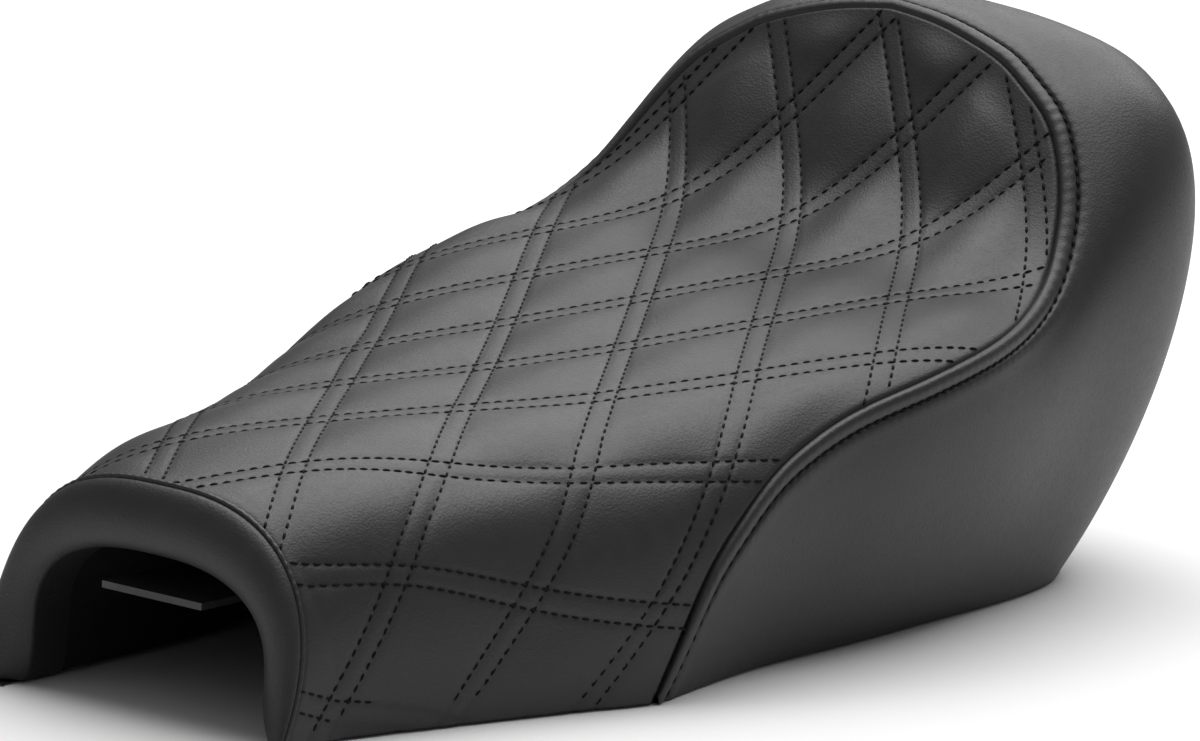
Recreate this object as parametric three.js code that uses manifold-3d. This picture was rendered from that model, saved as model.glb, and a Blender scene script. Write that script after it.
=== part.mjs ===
// Step-up solo motorcycle seat: quilted cover over moulded foam on a hollow base pan.
// Frame: mm, +X the rider's left, the nose faces -Y, +Z up. The plane x = 0 is the plane of
// symmetry, y = 0 the middle of the length, and z = 0 the lowest edge of the cover.
import * as THREE from 'three';
import { mergeVertices } from 'three/addons/utils/BufferGeometryUtils.js';
import Module from 'manifold-3d';

const wasm = await Module();
wasm.setup();

// ---- driving dimensions, mm ----
// Centre line of the top panel from the nose seam to the top of the bump: [y, z].
const CENTRE_LINE = [
  [-291.5, 95], [-245, 104], [-195, 109.5], [-86, 118.5], [18, 135],
  [82, 147], [126, 159], [155, 181.5], [177, 214.5], [197, 250],
];
// Cross sections of the top panel, at a distance along the centre line:
// [distance, half width, fullness exponent, depth of the shoulder].
const SECTIONS = [
  [0, 84, 2.8, 98], [47, 96, 3.2, 112], [97, 108, 3.2, 114], [157, 128, 3.3, 115],
  [207, 144, 3.8, 115], [260, 155.5, 4.9, 115], [314, 164, 6.2, 115], [380, 167, 6, 112],
  [440, 166, 4.2, 100], [490, 166, 3.4, 90], [540, 166, 3.2, 90],
];
// Welt between the top panel and the boxing: [distance along the centre line, distance out from it].
const WELT_LINE = [
  [161, 207], [170, 192], [179, 178], [191, 164.5], [208, 154.5], [228, 147.5], [251, 145],
  [280, 146.5], [312, 151.5], [345, 154], [375, 152.5], [401, 146.5], [427, 137], [450, 127],
  [468, 119.5], [488, 109], [504, 96.5], [514, 83], [523, 69], [530.5, 50], [536, 31], [540.7, 0],
];
// Ribs of the boxing: [distance of its welt point, lower edge point, upper handle, lower handle].
const BOXING_RIBS = [
  [161, [129, -122, 0], [0, 0, -1], [0, 0, 1]],
  [191, [125, -92, 2], [3, 0, -15], [4, 0, 15]],
  [251, [119, -40, 3], [6, 0, -28], [12, 0, 30]],
  [345, [118, 40, 3], [8, 2, -35], [22, 0, 40]],
  [401, [115, 105, 3], [16, 8, -34], [26, 4, 50]],
  [450, [112, 160, 3], [37, 38, 8], [28, 13, 70]],
  [488, [101, 211, 3], [50, 86, 42], [37, 40, 88]],
  [523, [64, 247, 3], [46, 124, 47], [33, 66, 96]],
  [540.7, [0, 258, 3], [0, 132, 34], [0, 90, 97]],
];
const SEAM_LEAN = 31;        // how far the foot of the nose seam stands ahead of its top
const SEAM_FOOT = 133;       // distance out along the seam where that lean is measured
const MOUTH_HALF = 62.5;     // tunnel mouth: half width
const MOUTH_SPRING = 25;     // height where its arch starts
const MOUTH_TOP = 66.5;      // height of its crown
const MOUTH_FULL = 2.6;      // fullness of its arch
const MOUTH_Y = -298;
const HEM = 16;              // cover turned in under the lower edge
const COVER = 1.6;           // vinyl with its scrim
const GAP = 0.3;             // clearance between neighbouring pieces
const SEAM_GAP = 2.2;        // panel edge to the line of the welt
const WELT_R = 1.8;
const BEAD_R = 1.2;
const QUILT = [1.9, 8];      // sewn foam under the top panel: depths of its two faces
const PAD = [9.2, 27];       // comfort pad let into the foam: depths
const PAD_RANGE = [232, 398, 95];
const FOAM_DEPTH = 8.3;
const FOAM_EDGE = 3.8;
const SPLIT_Y = 122;         // joint between the seat foam and the bump foam
const PAN_WALL = 3;
const PAN_FOOT = [2.4, 5.4]; // lower edge of the pan's wall, in the tunnel and behind it
const PAN_FRONT = -292;
const FLANGE = [4.2, 6.9];    // underside of the pan's flange, along the front and the side panels
const FLANGE_STEP = -122;
const TONGUE_W = 54;
const TONGUE_T = 3;
const BRACKET = [70, 40, 3];
const BRACKET_STEP = 3.5;    // the middle stands proud of the rivet heads, so a tab can lie flat on it
const RIVET_R = 2.3;

// Base pan, outer face of the shell: [y, half width, crown height, fullness].
const PAN = [
  [-310, 68.2, 71.8, 3.8], [-290, 68.4, 71.8, 3.8], [-255, 69, 72, 3.7], [-210, 71, 73.5, 3.7],
  [-165, 75.5, 74.5, 3.8], [-121, 83, 75.5, 4], [-60, 93, 77, 4.4], [0, 97, 79, 4.6],
  [60, 98, 81, 4.6], [110, 97, 83, 4.6], [160, 94, 84.5, 4.5], [195, 86, 83.5, 4.2],
  [215, 75, 78, 3.8], [230, 60, 66, 3.4], [240, 43, 50, 3], [246, 22, 30, 2.6],
];

// ---- curves and surfaces ----
function spline(xs, ys) {
  const n = xs.length;
  const m = new Array(n).fill(0);
  const c = new Array(n).fill(0);
  const d = new Array(n).fill(0);
  for (let i = 1; i < n - 1; i++) {
    const a = xs[i] - xs[i - 1];
    const b = xs[i + 1] - xs[i];
    const r = 6 * ((ys[i + 1] - ys[i]) / b - (ys[i] - ys[i - 1]) / a);
    const w = 2 * (a + b) - a * c[i - 1];
    c[i] = b / w;
    d[i] = (r - a * d[i - 1]) / w;
  }
  for (let i = n - 2; i > 0; i--) m[i] = d[i] - c[i] * m[i + 1];
  return (x) => {
    let i = 0;
    while (i < n - 2 && x > xs[i + 1]) i++;
    const h = xs[i + 1] - xs[i];
    const t = x - xs[i];
    const s = (ys[i + 1] - ys[i]) / h - (h * (2 * m[i] + m[i + 1])) / 6;
    return ys[i] + t * (s + t * (m[i] / 2 + (t * (m[i + 1] - m[i])) / (6 * h)));
  };
}
const column = (table, k) => table.map((row) => row[k]);
function lookup(xs, ys, x) {
  let i = 0;
  while (i < xs.length - 2 && x > xs[i + 1]) i++;
  const t = (x - xs[i]) / (xs[i + 1] - xs[i]);
  return ys[i] + (ys[i + 1] - ys[i]) * Math.min(Math.max(t, 0), 1);
}
function lengths(xs, ys) {
  const out = [0];
  for (let i = 1; i < xs.length; i++) {
    out.push(out[i - 1] + Math.hypot(xs[i] - xs[i - 1], ys[i] - ys[i - 1]));
  }
  return out;
}

const lineZ = spline(column(CENTRE_LINE, 0), column(CENTRE_LINE, 1));
const Y0 = CENTRE_LINE[0][0];
const Y1 = CENTRE_LINE[CENTRE_LINE.length - 1][0];
const lineYs = Array.from({ length: 801 }, (_, i) => Y0 + ((Y1 - Y0) * i) / 800);
const lineLengths = lengths(lineYs, lineYs.map(lineZ));
const TOP = lineLengths[800];
function onLine(s) {
  const y = lookup(lineLengths, lineYs, s);
  const slope = lineZ(y + 0.5) - lineZ(y - 0.5);
  const ty = 1 / Math.hypot(1, slope);
  const tz = slope * ty;
  const ahead = Math.min(s, 0);
  return { y: y + ahead * ty, z: lineZ(y) + ahead * tz, ty, tz };
}
const sectionOf = [1, 2, 3].map((k) => spline(column(SECTIONS, 0), column(SECTIONS, k)));
const sectionCache = new Map();
function section(s) {
  const key = s.toFixed(4);
  if (!sectionCache.has(key)) {
    const at = Math.max(s, 0);
    const [w, e, b] = sectionOf.map((f) => f(at));
    const k = 2 ** (-1 / e);
    const xs = [];
    const ds = [];
    for (let i = 0; i <= 60; i++) {
      const u = (k * i) / 60;
      xs.push(w * u);
      ds.push(b * (1 - (1 - u ** e) ** (1 / e)));
    }
    for (let i = 59; i >= 0; i--) {
      const u = (k * i) / 60;
      xs.push(w * (1 - u ** e) ** (1 / e));
      ds.push(b * (1 - u));
    }
    sectionCache.set(key, { xs, ds, ls: lengths(xs, ds) });
  }
  return sectionCache.get(key);
}
// Point of the top panel: p out from the centre line along the panel, s along the centre line.
function top(p, s) {
  const { y, z, ty, tz } = onLine(s);
  const { xs, ds, ls } = section(s);
  const a = Math.abs(p);
  const x = lookup(ls, xs, a);
  const d = lookup(ls, ds, a) + Math.max(a - ls[ls.length - 1], 0);
  return new THREE.Vector3(Math.sign(p) * x, y + tz * d, z - ty * d);
}
const seamLean = (p) => -SEAM_LEAN * (Math.abs(p) / SEAM_FOOT) ** 3.2;
const WELT_S = column(WELT_LINE, 0);
const WELT_P = column(WELT_LINE, 1);
const weltLengths = lengths(WELT_S, WELT_P);
const WELT_END = weltLengths[weltLengths.length - 1];
const weltS = spline(weltLengths, WELT_S);
const weltP = spline(weltLengths, WELT_P);
// The welt line in the flat panel, moved inward by m.
function weltFlat(t, m = 0) {
  if (t >= WELT_END) return [0, TOP - m];
  const ds = weltS(t + 0.5) - weltS(t - 0.5);
  const dp = weltP(t + 0.5) - weltP(t - 0.5);
  const l = Math.hypot(ds, dp);
  return [Math.max(weltP(t) - (m * ds) / l, 0), Math.min(weltS(t) + (m * dp) / l, TOP - m)];
}
const weltPoint = (t) => top(...weltFlat(t));
const ribT = BOXING_RIBS.map(([s]) => {
  let best = 0;
  for (let i = 0; i <= 2000; i++) {
    const t = (WELT_END * i) / 2000;
    if (Math.abs(weltS(t) - s) < Math.abs(weltS(best) - s)) best = t;
  }
  return s > 540 ? WELT_END : best;
});
const ribOf = [];
for (let k = 1; k <= 3; k++) {
  for (let c = 0; c < 3; c++) {
    const v = BOXING_RIBS.map((r) => r[k][c]);
    const n = v.length;
    const sign = c === 0 ? -1 : 1;
    const t = [...ribT, 2 * WELT_END - ribT[n - 2], 2 * WELT_END - ribT[n - 3]];
    ribOf.push(spline(t, [...v, sign * v[n - 2], sign * v[n - 3]]));
  }
}
const bezier = (a, b, c, d, v) => {
  const w = 1 - v;
  const k = [w * w * w, 3 * v * w * w, 3 * v * v * w, v * v * v];
  const out = new THREE.Vector3();
  [a, b, c, d].forEach((q, i) => out.addScaledVector(q, k[i]));
  return out;
};
function ribFrame(t) {
  const f = ribOf.map((g) => g(t));
  const g = weltPoint(t);
  const e = new THREE.Vector3(f[0], f[1], f[2]);
  const up = new THREE.Vector3(f[3], f[4], f[5]).add(g);
  const low = new THREE.Vector3(f[6], f[7], f[8]).add(e);
  const inward = new THREE.Vector3(-f[6], -f[7], 0).normalize();
  return { g, up, low, e, inward };
}
// Points down one rib of the boxing, starting m away from the welt, evenly spaced.
function rib(t, m, n) {
  const { g, up, low, e, inward } = ribFrame(t);
  const raw = Array.from({ length: 41 }, (_, i) => bezier(g, up, low, e, i / 40));
  const at = [0];
  for (let i = 1; i < raw.length; i++) at.push(at[i - 1] + raw[i].distanceTo(raw[i - 1]));
  const out = [];
  const seam = weltPoint(Math.min(t + 1, WELT_END)).sub(weltPoint(Math.max(t - 1, 0))).normalize();
  const turn = seam.angleTo(up.clone().sub(g));
  const start = m / Math.max(Math.sin(turn), 0.2);
  for (let j = 0; j <= n; j++) {
    const l = start + ((at[40] - start) * j) / n;
    out.push(new THREE.Vector3(...['x', 'y', 'z'].map((c) => lookup(at, raw.map((q) => q[c]), l))));
  }
  if (t < 1) inward.set(-1, 0, 0);
  out.push(e.clone().addScaledVector(inward, HEM));
  return out;
}
function mouth(u) {
  const xs = [];
  const zs = [];
  for (let i = 0; i <= 60; i++) {
    const a = (i / 60) * (Math.PI / 2);
    xs.push(MOUTH_HALF * Math.sin(a) ** (2 / MOUTH_FULL));
    zs.push(MOUTH_SPRING + (MOUTH_TOP - MOUTH_SPRING) * Math.cos(a) ** (2 / MOUTH_FULL));
  }
  xs.push(MOUTH_HALF + 0.5);
  zs.push(1);
  const ls = lengths(xs, zs);
  const l = Math.abs(u) * ls[ls.length - 1];
  return new THREE.Vector3(Math.sign(u) * lookup(ls, xs, l), MOUTH_Y, lookup(ls, zs, l));
}

// ---- grids of the cover panels ----
const COLS = 16;
const FRONT_ROWS = 8;
const WELT_ROWS = 18;
const RING_ROWS = 3;
const BOXING_ROWS = 6;
const FOOT_S = WELT_LINE[0][0];
const leaning = (p, s) => top(p, s + seamLean(p) * Math.max(1 - s / FOOT_S, 0) ** 2);
function footLength(s) {
  let lo = 60;
  let hi = 260;
  for (let i = 0; i < 40; i++) {
    const mid = (lo + hi) / 2;
    if (leaning(mid, s).z > 0) lo = mid;
    else hi = mid;
  }
  return lo;
}
const cornerHem = (side) => mouth(side).add(new THREE.Vector3(0, 14, 0));
function topGrid(m, hem = true) {
  const grid = [];
  for (let i = 0; i < FRONT_ROWS; i++) {
    const s = Math.max((FOOT_S * i) / FRONT_ROWS, m);
    const end = footLength(s);
    const row = [];
    for (let j = 0; j <= COLS; j++) row.push(leaning(((2 * j) / COLS - 1) * end, s));
    if (hem) {
      const width = m > 0 && i < 2 ? 3 + 9 * i : HEM;
      for (const side of [-1, 1]) {
        const edge = side < 0 ? row[0] : row[row.length - 1];
        const turned = edge.clone().add(new THREE.Vector3(-side * width, m > 0 && i === 0 ? 5 : 0, 0));
        const h = m === 0 && i === 0 ? cornerHem(side) : turned;
        if (side < 0) row.unshift(h);
        else row.push(h);
      }
    }
    grid.push(row);
  }
  for (let i = 0; i <= WELT_ROWS; i++) {
    const [end, s] = weltFlat((WELT_END * i) / WELT_ROWS, m);
    const row = [];
    for (let j = 0; j <= COLS; j++) row.push(top(((2 * j) / COLS - 1) * end, s));
    if (hem) {
      row.unshift(row[0].clone());
      row.push(row[row.length - 1].clone());
    }
    grid.push(row);
  }
  return grid;
}
function boxingGrid(m, from, to) {
  const grid = [];
  for (let i = 0; i <= WELT_ROWS; i++) {
    const t = Math.min(Math.max((WELT_END * i) / WELT_ROWS, from), to);
    grid.push(rib(t, m, BOXING_ROWS));
  }
  return grid;
}
const SEAM_END = footLength(0);
function noseGrid(m) {
  const grid = [];
  for (let j = 0; j <= COLS; j++) {
    const u = (2 * j) / COLS - 1;
    const a = leaning(u * SEAM_END, 0);
    const d = mouth(u);
    const h0 = new THREE.Vector3(a.x * 0.05, -10, 1).add(a);
    const h1 = new THREE.Vector3(d.x * 0.12, -9, 5 * (1 - Math.abs(u) ** 3)).add(d);
    const col = [];
    for (let i = 0; i <= RING_ROWS; i++) {
      const v = m / 18 + ((1 - m / 18) * i) / RING_ROWS;
      col.push(bezier(a, h0, h1, d, v));
    }
    col.push(d.clone().add(new THREE.Vector3(0, 14, 0)));
    grid.push(col);
  }
  grid.unshift(grid[0].map(() => cornerHem(-1)));
  grid.push(grid[0].map(() => cornerHem(1)));
  return grid;
}
const mirrored = (grid) => grid.map((row) => row.map((q) => new THREE.Vector3(-q.x, q.y, q.z)));

// ---- triangle bookkeeping ----
const keyOf = (q) => `${Math.round(q.x * 500)},${Math.round(q.y * 500)},${Math.round(q.z * 500)}`;
function patch(grids) {
  const pts = [];
  const seen = new Map();
  const tris = [];
  const index = (q) => {
    const k = keyOf(q);
    if (!seen.has(k)) {
      seen.set(k, pts.length);
      pts.push(q.clone());
    }
    return seen.get(k);
  };
  for (const { grid, flip } of grids) {
    for (let i = 0; i < grid.length - 1; i++) {
      for (let j = 0; j < grid[i].length - 1; j++) {
        const a = index(grid[i][j]);
        const b = index(grid[i][j + 1]);
        const c = index(grid[i + 1][j + 1]);
        const d = index(grid[i + 1][j]);
        const quads = [[a, b, c], [a, c, d]];
        for (const [p, q, r] of quads) {
          if (p === q || q === r || p === r) continue;
          tris.push(flip ? [p, r, q] : [p, q, r]);
        }
      }
    }
  }
  return { pts, tris, index };
}
function normalsOf({ pts, tris }) {
  const out = pts.map(() => new THREE.Vector3());
  for (const [a, b, c] of tris) {
    const n = pts[b].clone().sub(pts[a]).cross(pts[c].clone().sub(pts[a]));
    for (const k of [a, b, c]) out[k].add(n);
  }
  return out.map((n) => n.normalize());
}
function openEdges(tris) {
  const edges = new Map();
  for (const t of tris) {
    for (let k = 0; k < 3; k++) edges.set(`${t[k]},${t[(k + 1) % 3]}`, [t[k], t[(k + 1) % 3]]);
  }
  return [...edges.values()].filter(([a, b]) => !edges.has(`${b},${a}`));
}
// A closed sheet between two depths under a patch.
function sheet(shape, d0, d1, normals = normalsOf(shape)) {
  const n = shape.pts.length;
  const pts = shape.pts.map((q, i) => q.clone().addScaledVector(normals[i], -d0));
  shape.pts.forEach((q, i) => pts.push(q.clone().addScaledVector(normals[i], -d1)));
  const tris = shape.tris.map((t) => [...t]);
  for (const [a, b, c] of shape.tris) tris.push([a + n, c + n, b + n]);
  for (const [a, b] of openEdges(shape.tris)) tris.push([b, a, a + n], [b, a + n, b + n]);
  return solid(pts, tris);
}
function solid(pts, tris) {
  return new wasm.Manifold(new wasm.Mesh({
    numProp: 3,
    vertProperties: new Float32Array(pts.flatMap((q) => [q.x, q.y, q.z])),
    triVerts: new Uint32Array(tris.flat()),
  }));
}
function solidOf(geometry, matrix) {
  const g = geometry.clone();
  for (const name of Object.keys(g.attributes)) if (name !== 'position') g.deleteAttribute(name);
  if (matrix) g.applyMatrix4(matrix);
  const merged = mergeVertices(g, 1e-4);
  return new wasm.Manifold(new wasm.Mesh({
    numProp: 3,
    vertProperties: new Float32Array(merged.attributes.position.array),
    triVerts: new Uint32Array(merged.index.array),
  }));
}
function geometryOf(body) {
  const { vertProperties, triVerts } = body.getMesh();
  const g = new THREE.BufferGeometry();
  g.setAttribute('position', new THREE.BufferAttribute(new Float32Array(vertProperties), 3));
  g.setIndex(new THREE.BufferAttribute(new Uint32Array(triVerts), 1));
  const flat = g.toNonIndexed();
  flat.computeVertexNormals();
  return flat;
}
const shift = (x, y, z) => new THREE.Matrix4().makeTranslation(x, y, z);
function block(x0, x1, y0, y1, z0, z1) {
  const g = new THREE.BoxGeometry(x1 - x0, y1 - y0, z1 - z0);
  return solidOf(g, shift((x0 + x1) / 2, (y0 + y1) / 2, (z0 + z1) / 2));
}
function upright(r, x, y, z0, z1, sides = 20) {
  const g = new THREE.CylinderGeometry(r, r, z1 - z0, sides);
  g.rotateX(Math.PI / 2);
  return solidOf(g, shift(x, y, (z0 + z1) / 2));
}

// ---- the base pan ----
// Closed volume of the hollow, grown by g on every side but the floor.
function panVolume(g) {
  const SIDES = 16;
  const rings = PAN.map(([y, w, h, e], k) => {
    const ring = [new THREE.Vector3(-(w + g), y, -30)];
    for (let i = 0; i <= SIDES; i++) {
      const a = (i / SIDES) * Math.PI;
      const x = -Math.sign(Math.cos(a)) * Math.abs(Math.cos(a)) ** (2 / e) * (w + g);
      const z = Math.sin(a) ** (2 / e) * (h + g);
      ring.push(new THREE.Vector3(x, k === PAN.length - 1 ? y + g : y, z));
    }
    ring.push(new THREE.Vector3(w + g, y, -30));
    ring[0].y = ring[1].y;
    ring[ring.length - 1].y = ring[1].y;
    return ring;
  });
  const n = rings[0].length;
  const pts = rings.flat();
  const tris = [];
  for (let k = 0; k < rings.length - 1; k++) {
    for (let i = 0; i < n; i++) {
      const a = k * n + i;
      const b = k * n + ((i + 1) % n);
      tris.push([a, b, b + n], [a, b + n, a + n]);
    }
  }
  const last = (rings.length - 1) * n;
  for (let i = 1; i < n - 1; i++) tris.push([0, i + 1, i], [last, last + i, last + i + 1]);
  const flipped = tris.map(([a, b, c]) => [a, c, b]);
  const body = solid(pts, tris);
  return body.volume() > 0 ? body : solid(pts, flipped);
}
const FRONT_BOSS = [-30, 30, -222, -158, 62];
const REAR_BOSS = [-38, 38, 158, 206, 58];
const BUMPERS = [[-60, -88, 52], [60, -88, 52], [-62, 118, 56], [62, 118, 56]];
const FRONT_RIVETS = [[-17, -206], [17, -206], [-17, -174], [17, -174]];
const REAR_RIVETS = [[-27, 171], [27, 171], [-27, 193], [27, 193]];
const outer = panVolume(0);
const inner = panVolume(-PAN_WALL);
const inside = panVolume(-1);
let pan = outer.subtract(inner);
const webs = [];
for (const [x0, x1, y0, y1, z0] of [FRONT_BOSS, REAR_BOSS]) webs.push(block(x0, x1, y0, y1, z0, 100));
for (const [x, y, z0] of BUMPERS) webs.push(upright(15, x, y, z0, 100, 14));
const ribZone = outer.subtract(panVolume(-10));
for (const y of [-130, -20, 80]) webs.push(block(-130, 130, y - 1.5, y + 1.5, 20, 100).intersect(ribZone));
for (const x of [-40, 40]) webs.push(block(x - 1.5, x + 1.5, -150, 156, 60, 100).intersect(ribZone));
for (const web of webs) pan = pan.add(web.intersect(inside));

// ---- foam ----
const panelGrid = topGrid(SEAM_GAP);
const foamGrid = topGrid(0);
for (let i = 1; i < foamGrid.length - 1; i++) {
  for (let j = 2; j < COLS + 1; j++) foamGrid[i][j] = panelGrid[i][j];
}
const full = [
  { grid: foamGrid, flip: false },
  { grid: boxingGrid(0, 0, WELT_END), flip: false },
  { grid: mirrored(boxingGrid(0, 0, WELT_END)), flip: true },
  { grid: noseGrid(0), flip: false },
];
const skin = patch(full);
const interior = new Set();
full[0].grid.slice(1, -1).forEach((row) => row.slice(2, -2).forEach((q) => interior.add(keyOf(q))));
const skinNormals = normalsOf(skin);
const corePts = skin.pts.map((q, i) => {
  const d = interior.has(keyOf(q)) ? FOAM_DEPTH : FOAM_EDGE;
  return q.clone().addScaledVector(skinNormals[i], -d);
});
const centre = corePts.length;
corePts.push(new THREE.Vector3(0, 0, -22));
const coreTris = skin.tris.map((t) => [...t]);
for (const [a, b] of openEdges(skin.tris)) coreTris.push([b, a, centre]);
let core = solid(corePts, coreTris);
// The pan's flange closes the underside from the hollow out to the cover.
function slab(y0, y1, z, grow) {
  return block(-300, 300, y0 - grow, y1 + grow, -60, z + PAN_WALL + grow);
}
const flangeFront = core.intersect(block(-300, 300, -400, FLANGE_STEP, FLANGE[0], FLANGE[0] + PAN_WALL));
const flangeRear = core.intersect(block(-300, 300, FLANGE_STEP, 400, FLANGE[1], FLANGE[1] + PAN_WALL));
pan = pan.subtract(block(-200, 200, -400, 400, -60, PAN_FOOT[0]));
pan = pan.subtract(block(-200, 200, FLANGE_STEP, 400, -60, PAN_FOOT[1]));
pan = pan.add(flangeFront.add(flangeRear).subtract(inside));
pan = pan.subtract(block(-200, 200, -400, PAN_FRONT, -60, 200));
for (const [x, y] of FRONT_RIVETS) pan = pan.subtract(upright(RIVET_R + GAP, x, y, 50, 68.6, 8));
for (const [x, y] of REAR_RIVETS) pan = pan.subtract(upright(RIVET_R + GAP, x, y, 50, 64.6, 8));
core = core.subtract(panVolume(GAP));
core = core.subtract(block(-300, 300, -400, 400, -60, PAN_FOOT[0]));
core = core.subtract(slab(PAN_FRONT, FLANGE_STEP, FLANGE[0], GAP));
core = core.subtract(slab(FLANGE_STEP, 400, FLANGE[1], GAP));
function flatPatch(s0, s1, w, rows, cols) {
  const grid = [];
  for (let i = 0; i <= rows; i++) {
    const row = [];
    for (let j = 0; j <= cols; j++) row.push(top(((2 * j) / cols - 1) * w, s0 + ((s1 - s0) * i) / rows));
    grid.push(row);
  }
  return patch([{ grid, flip: false }]);
}
const pad = sheet(flatPatch(PAD_RANGE[0], PAD_RANGE[1], PAD_RANGE[2], 8, 8), ...PAD);
const grow = 0.5;
const pocket = flatPatch(PAD_RANGE[0] - grow, PAD_RANGE[1] + grow, PAD_RANGE[2] + grow, 8, 8);
core = core.subtract(sheet(pocket, 4, PAD[1] + grow));
const seatFoam = core.intersect(block(-300, 300, -400, SPLIT_Y - GAP / 2, -50, 400));
const bumpFoam = core.intersect(block(-300, 300, SPLIT_Y + GAP / 2, 400, -50, 400));
const quiltPatch = patch([{ grid: foamGrid.slice(1, -2).map((row) => row.slice(2, -2)), flip: false }]);
const normalAt = new Map(skin.pts.map((q, i) => [keyOf(q), skinNormals[i]]));
const quilt = sheet(quiltPatch, ...QUILT, quiltPatch.pts.map((q) => normalAt.get(keyOf(q))));

// ---- cover ----
const coverTop = sheet(patch([{ grid: panelGrid, flip: false }]), 0, COVER);
const coverNose = sheet(patch([{ grid: noseGrid(SEAM_GAP), flip: false }]), 0, COVER);
const half = boxingGrid(SEAM_GAP, 12, WELT_END - 1.5);
const boxingLeft = sheet(patch([{ grid: half, flip: false }]), 0, COVER);
const boxingRight = sheet(patch([{ grid: mirrored(half), flip: true }]), 0, COVER);

// A round cord through the given points, with flat ends.
function cord(points, r, sides) {
  const pts = [];
  const tris = [];
  const across = new THREE.Vector3(1, 0, 0);
  points.forEach((q, k) => {
    const from = points[Math.max(k - 1, 0)];
    const along = points[Math.min(k + 1, points.length - 1)].clone().sub(from).normalize();
    across.addScaledVector(along, -across.dot(along)).normalize();
    const over = along.clone().cross(across);
    for (let i = 0; i < sides; i++) {
      const a = (i / sides) * 2 * Math.PI;
      const ring = q.clone().addScaledVector(across, r * Math.cos(a));
      pts.push(ring.addScaledVector(over, r * Math.sin(a)));
    }
  });
  for (let k = 0; k < points.length - 1; k++) {
    for (let i = 0; i < sides; i++) {
      const a = k * sides + i;
      const b = k * sides + ((i + 1) % sides);
      tris.push([a, b, b + sides], [a, b + sides, a + sides]);
    }
  }
  const last = (points.length - 1) * sides;
  for (let i = 1; i < sides - 1; i++) tris.push([0, i + 1, i], [last, last + i, last + i + 1]);
  return solid(pts, tris);
}
const weltPath = [];
for (let i = 1; i <= WELT_ROWS; i++) weltPath.push(weltPoint((WELT_END * i) / WELT_ROWS));
for (let i = WELT_ROWS - 2; i >= 0; i--) {
  weltPath.push(new THREE.Vector3(-weltPath[i].x, weltPath[i].y, weltPath[i].z));
}
const seamPath = [];
for (let j = 1; j < COLS; j++) seamPath.push(leaning(((2 * j) / COLS - 1) * SEAM_END, 0));

// ---- hardware under the pan ----
const tongueZ = FRONT_BOSS[4] - GAP;
const tongueShape = new THREE.Shape();
[[-297, 47.5], [-238, 47.5], [-224, tongueZ - TONGUE_T], [-158, tongueZ - TONGUE_T],
  [-158, tongueZ], [-225.3, tongueZ], [-239.3, 47.5 + TONGUE_T], [-297, 47.5 + TONGUE_T],
].forEach(([y, z], i) => (i ? tongueShape.lineTo(y, z) : tongueShape.moveTo(y, z)));
tongueShape.closePath();
const tongueBar = new THREE.ExtrudeGeometry(tongueShape, { depth: TONGUE_W, bevelEnabled: false });
const turn = new THREE.Matrix4().makeBasis(
  new THREE.Vector3(0, 1, 0), new THREE.Vector3(0, 0, 1), new THREE.Vector3(1, 0, 0));
let tongue = solidOf(tongueBar, shift(-TONGUE_W / 2, 0, 0).multiply(turn));
for (const [x, y] of FRONT_RIVETS) tongue = tongue.subtract(upright(RIVET_R + GAP, x, y, 40, 80, 8));
const bracketZ = REAR_BOSS[4] - GAP;
const [bw, bl, bt] = BRACKET;
const padZ = bracketZ - bt - BRACKET_STEP;
let bracket = block(-bw / 2, bw / 2, 182 - bl / 2, 182 + bl / 2, bracketZ - bt, bracketZ);
bracket = bracket.add(block(-17, 17, 182 - bl / 2, 182 + bl / 2, padZ, bracketZ - bt + 1));
bracket = bracket.subtract(upright(4.3, 0, 182, 40, 80, 16));
for (const [x, y] of REAR_RIVETS) bracket = bracket.subtract(upright(RIVET_R + GAP, x, y, 40, 80, 8));
function rivetGeometry() {
  const profile = [[0, -2.6], [2.6, -2.3], [4.4, -1.2], [5, -0.3], [RIVET_R, -0.3], [RIVET_R, 9], [0, 9]];
  const g = new THREE.LatheGeometry(profile.map(([x, y]) => new THREE.Vector2(x, y)), 10);
  g.rotateX(Math.PI / 2);
  return g;
}
function bumperGeometry() {
  const profile = [[0, 0], [11, 0], [13, 2.5], [14, 12], [14, 15], [0, 15]];
  const g = new THREE.LatheGeometry(profile.map(([x, y]) => new THREE.Vector2(x, y)), 16);
  g.rotateX(Math.PI / 2);
  return g;
}

// ---- scene graph ----
const look = (color, roughness, metalness = 0) => new THREE.MeshStandardMaterial({ color, roughness, metalness });
const VINYL = look(0x2b2b2d, 0.5);
const FOAM = look(0xd9cfb4, 0.95);
const PLASTIC = look(0x161617, 0.6);
const STEEL = look(0x77797c, 0.4, 0.9);
const RUBBER = look(0x1d1d1d, 0.85);
const seat = new THREE.Group();
function place(name, geometry, material, x = 0, y = 0, z = 0) {
  const mesh = new THREE.Mesh(geometry, material);
  mesh.name = name;
  mesh.position.set(x, y, z);
  seat.add(mesh);
}
place('cover_top', geometryOf(coverTop), VINYL);
place('cover_nose', geometryOf(coverNose), VINYL);
place('boxing_left', geometryOf(boxingLeft), VINYL);
place('boxing_right', geometryOf(boxingRight), VINYL);
place('welt', geometryOf(cord(weltPath, WELT_R, 6)), VINYL);
place('nose_bead', geometryOf(cord(seamPath, BEAD_R, 6)), VINYL);
place('quilt_foam', geometryOf(quilt), FOAM);
place('comfort_pad', geometryOf(pad), look(0x4f6f8f, 0.8));
place('seat_foam', geometryOf(seatFoam), FOAM);
place('bump_foam', geometryOf(bumpFoam), FOAM);
place('base_pan', geometryOf(pan), PLASTIC);
place('front_tongue', geometryOf(tongue), STEEL);
place('rear_bracket', geometryOf(bracket), STEEL);
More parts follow.
